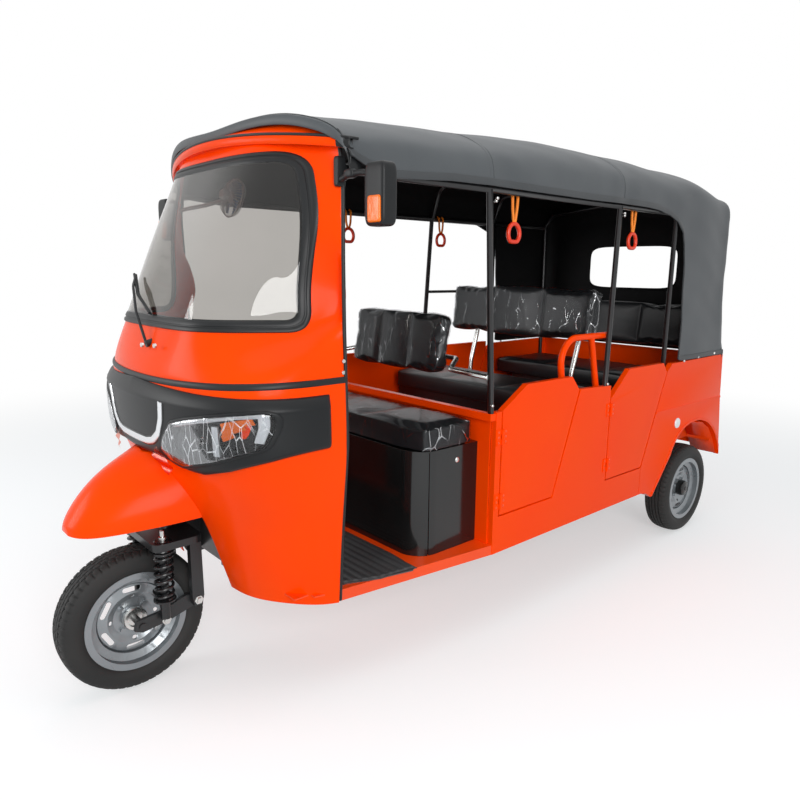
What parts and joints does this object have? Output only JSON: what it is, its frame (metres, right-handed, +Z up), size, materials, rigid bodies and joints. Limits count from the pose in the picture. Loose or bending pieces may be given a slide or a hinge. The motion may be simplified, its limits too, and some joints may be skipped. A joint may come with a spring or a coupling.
{
  "type": "three-wheeled passenger auto rickshaw",
  "caption": "Three-wheeled passenger auto rickshaw with a windscreen cab, fabric canopy on tube frame, two passenger benches, low side doors and a steered front wheel.",
  "frame": {"origin": "middle of the overall length and width, on the ground", "axes": "-Y is forward, +X is the vehicle's left side, +Z is up"},
  "size_m": [1.524, 3.3919, 1.9452],
  "materials": {
    "body_paint": "gloss",
    "inner_paint": "gloss",
    "frame_black": "satin",
    "black_plastic": "satin",
    "black_gloss": "gloss",
    "seal_rubber": "matt",
    "mat_rubber": "matt",
    "tyre_rubber": "matt",
    "glass": "clear",
    "lens": "clear",
    "lamp_red": "gloss",
    "canopy_cloth": "satin vinyl",
    "seat_cover": "vinyl",
    "wheel_silver": "satin",
    "steel": "satin",
    "engine_metal": "rough",
    "grip_orange": "gloss",
    "fan_plastic": "gloss"
  },
  "bodies": {
    "vehicle": {"chassis_frame": "frame_black", "wheel_well": "black_plastic", "floor_pan": "body_paint", "floor_mat": "mat_rubber", "cowl_lower": "body_paint", "cowl_upper": "body_paint", "roof_cap": "body_paint", "windscreen_glass": "glass", "windscreen_seal": "seal_rubber", "belt_trim": "seal_rubber", "fascia": "black_plastic", "headlamps": "lens", "front_fender": "body_paint", "side_panel_left": "body_paint", "side_panel_right": "body_paint", "quarter_left": "body_paint", "quarter_right": "body_paint", "tail_panel": "body_paint", "tail_lamps": "lamp_red", "bulkhead": "inner_paint", "seat_base": "black_gloss", "driver_cushion": "seat_cover", "driver_backrest": "seat_cover", "bench_bases": "black_gloss", "bench_cushions": "seat_cover", "bench_backrests": "seat_cover", "backrest_frames": "frame_black", "canopy": "canopy_cloth", "canopy_frame": "frame_black", "grab_tube": "body_paint", "hand_grips": "grip_orange", "mirrors": "black_plastic", "wiper": "frame_black", "cabin_fan": "fan_plastic", "engine": "engine_metal", "rear_axle": "frame_black"},
    "steering": {"fork": "frame_black", "steering_column": "frame_black", "front_dampers": "steel"},
    "front_wheel": {"front_rim": "wheel_silver", "front_tyre": "tyre_rubber"},
    "rear_wheel_left": {"rear_rim_left": "wheel_silver", "rear_tyre_left": "tyre_rubber"},
    "rear_wheel_right": {"rear_rim_right": "wheel_silver", "rear_tyre_right": "tyre_rubber"},
    "door_front": {"door_front_left": "body_paint"},
    "door_rear": {"door_rear_left": "body_paint"}
  },
  "joints": [
    {"name": "steering", "type": "hinge", "parent": "vehicle", "child": "steering", "pos_m": [0, -1.27096, 0.665], "axis": [0, 0.342, 0.9397], "range_deg": [-38, 38]},
    {"name": "front_wheel_spin", "type": "hinge", "parent": "steering", "child": "front_wheel", "pos_m": [0, -1.453, 0.243], "axis": [1, 0, 0], "continuous": true},
    {"name": "rear_wheel_left_spin", "type": "hinge", "parent": "vehicle", "child": "rear_wheel_left", "pos_m": [0.53, 1.36, 0.243], "axis": [1, 0, 0], "continuous": true},
    {"name": "rear_wheel_right_spin", "type": "hinge", "parent": "vehicle", "child": "rear_wheel_right", "pos_m": [-0.53, 1.36, 0.243], "axis": [1, 0, 0], "continuous": true},
    {"name": "door_front_hinge", "type": "hinge", "parent": "vehicle", "child": "door_front", "pos_m": [0.612, -0.2565, 0.67], "axis": [0, 0, -1], "range_deg": [0, 85]},
    {"name": "door_rear_hinge", "type": "hinge", "parent": "vehicle", "child": "door_rear", "pos_m": [0.612, 0.4935, 0.67], "axis": [0, 0, -1], "range_deg": [0, 85]}
  ]
}
